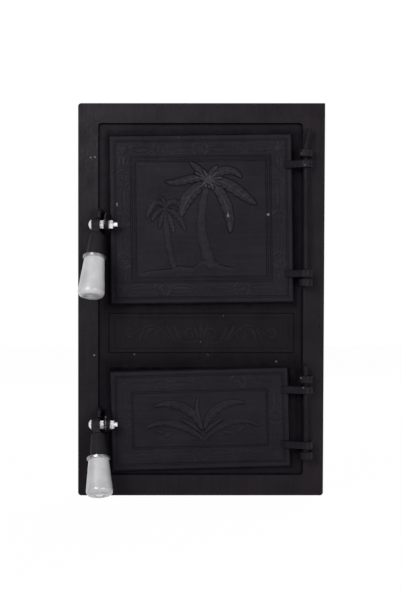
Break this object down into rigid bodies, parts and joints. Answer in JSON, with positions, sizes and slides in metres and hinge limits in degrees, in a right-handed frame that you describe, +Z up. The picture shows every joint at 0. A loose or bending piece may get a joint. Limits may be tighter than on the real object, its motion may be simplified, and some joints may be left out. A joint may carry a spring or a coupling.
{
  "type": "stove door",
  "caption": "Cast iron stove front with a fire door over an ash door, pin hinges at the right and gravity latches with glazed grips.",
  "frame": {"origin": "on the back of the flange, at the middle of its lower edge", "axes": "+X to the right as seen from the front, +Y into the stove, +Z up; the front faces -Y"},
  "size_m": [0.315, 0.1038, 0.5],
  "materials": {
    "painted_iron": "black stove paint, satin, over cast iron",
    "painted_steel": "black paint over a steel rod, worn at the edges",
    "zinc_steel": "bright zinc plate",
    "grip_ring": "bright nickel plate, a little dulled",
    "glazed_grip": "pale grey glaze"
  },
  "bodies": {
    "frame": {"frame": "painted_iron", "upper_hinge_pin": "painted_steel", "lower_hinge_pin": "painted_steel"},
    "upper_door": {"upper_door": "painted_iron", "upper_latch_bolt": "zinc_steel", "upper_jam_nut": "zinc_steel", "upper_lock_nut": "zinc_steel"},
    "upper_lever": {"upper_latch_lever": "painted_iron", "upper_grip_ferrule": "grip_ring", "upper_grip": "glazed_grip", "upper_grip_screw": "zinc_steel"},
    "lower_door": {"lower_door": "painted_iron", "lower_latch_bolt": "zinc_steel", "lower_jam_nut": "zinc_steel", "lower_lock_nut": "zinc_steel"},
    "lower_lever": {"lower_latch_lever": "painted_iron", "lower_grip_ferrule": "grip_ring", "lower_grip": "glazed_grip", "lower_grip_screw": "zinc_steel"}
  },
  "joints": [
    {"name": "upper_hinge", "type": "hinge", "parent": "frame", "child": "upper_door", "pos_m": [0.1328, -0.0165, 0.352], "axis": [0, 0, 1], "range_deg": [0, 150]},
    {"name": "upper_latch", "type": "hinge", "parent": "upper_door", "child": "upper_lever", "pos_m": [-0.1318, -0.024, 0.344], "axis": [-1, 0, 0], "range_deg": [0, 75]},
    {"name": "lower_hinge", "type": "hinge", "parent": "frame", "child": "lower_door", "pos_m": [0.1328, -0.0165, 0.101], "axis": [0, 0, 1], "range_deg": [0, 150]},
    {"name": "lower_latch", "type": "hinge", "parent": "lower_door", "child": "lower_lever", "pos_m": [-0.1317, -0.024, 0.0923], "axis": [-1, 0, 0], "range_deg": [0, 75]}
  ]
}
